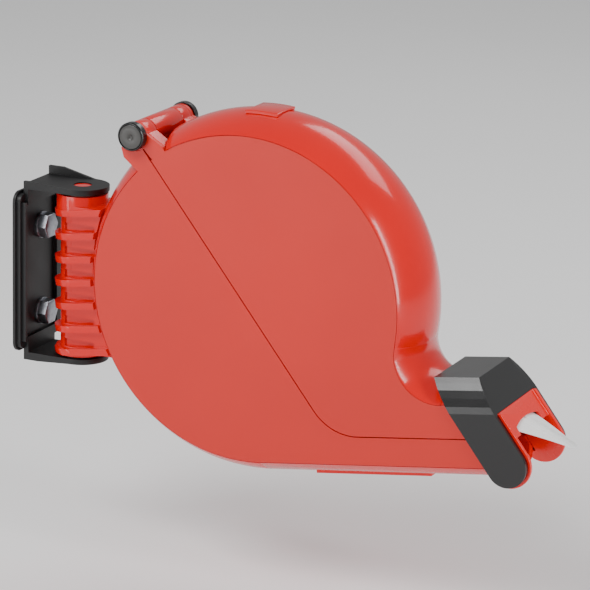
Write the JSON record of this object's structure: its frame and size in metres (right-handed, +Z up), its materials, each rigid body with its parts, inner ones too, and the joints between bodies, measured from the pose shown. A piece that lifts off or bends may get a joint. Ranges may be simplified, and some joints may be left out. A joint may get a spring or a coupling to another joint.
{
  "type": "take-a-number ticket dispenser",
  "caption": "Wall-mounted snail-shaped dispenser that turns on a bracket and feeds numbered tickets from a roll through a hooded mouth.",
  "frame": {"origin": "on the wall plate's wall face, half way up it and in line with the swivel axis", "axes": "+X straight out from the wall, +Z up, Y across the case; the wall is the plane X = 0"},
  "size_m": [0.3363, 0.0662, 0.2004],
  "materials": {
    "case_red": "gloss",
    "side_red": "satin",
    "dark_red": "satin",
    "black": "gloss",
    "black_satin": "satin",
    "steel": "zinc plated",
    "nylon": "satin",
    "paper": "paper",
    "card": "cardboard"
  },
  "bodies": {
    "bracket": {"wall_bracket": "black_satin", "wall_bolts": "steel", "wall_washers": "steel"},
    "base": {"thrust_washers": "nylon", "swivel_barrel": "case_red", "base_shell": "case_red", "base_nose": "case_red", "base_side_near": "side_red", "base_side_far": "side_red", "base_screws": "steel", "roll_spindle": "black", "spindle_screw": "steel", "roll_brake": "steel", "guide_axle": "steel", "mouth_insert": "case_red", "tear_bar": "dark_red", "paper_strip": "paper", "hinge_pin": "steel", "hinge_caps": "black"},
    "lid": {"lid_shell": "case_red", "lid_arms": "case_red", "sign_pad": "case_red", "lid_nose": "case_red", "lid_tip": "case_red", "lid_side_near": "side_red", "lid_side_far": "side_red", "lid_screws": "steel", "mouth_cover": "black", "cover_clips": "black"},
    "roll": {"roll_core": "card", "ticket_roll": "paper"},
    "guide": {"guide_roller": "nylon"},
    "card": {"ticket": "paper"}
  },
  "joints": [
    {"name": "swivel", "type": "hinge", "parent": "bracket", "child": "base", "pos_m": [0.032, 0, 0], "axis": [0, 0, 1], "range_deg": [-70, 70]},
    {"name": "lid_hinge", "type": "hinge", "parent": "base", "child": "lid", "pos_m": [0.07899, 0, 0.08868], "axis": [0, -1, 0], "range_deg": [0, 95]},
    {"name": "roll_spin", "type": "hinge", "parent": "base", "child": "roll", "pos_m": [0.145, 0, 0.006], "axis": [0, -1, 0], "range_deg": [0, 8.5]},
    {"name": "ticket_pull", "type": "slide", "parent": "base", "child": "card", "axis": [0.9272, 0, -0.3746], "range_m": [0, 0.01201]},
    {"name": "guide_spin", "type": "hinge", "parent": "base", "child": "guide", "pos_m": [0.28059, 0, -0.04267], "axis": [0, 1, 0], "range_deg": [0, 124.4]}
  ],
  "couplings": [
    {"joint": "ticket_pull", "follows": "roll_spin", "m_per_rad": 0.0803},
    {"joint": "guide_spin", "follows": "roll_spin", "ratio": 14.6}
  ]
}
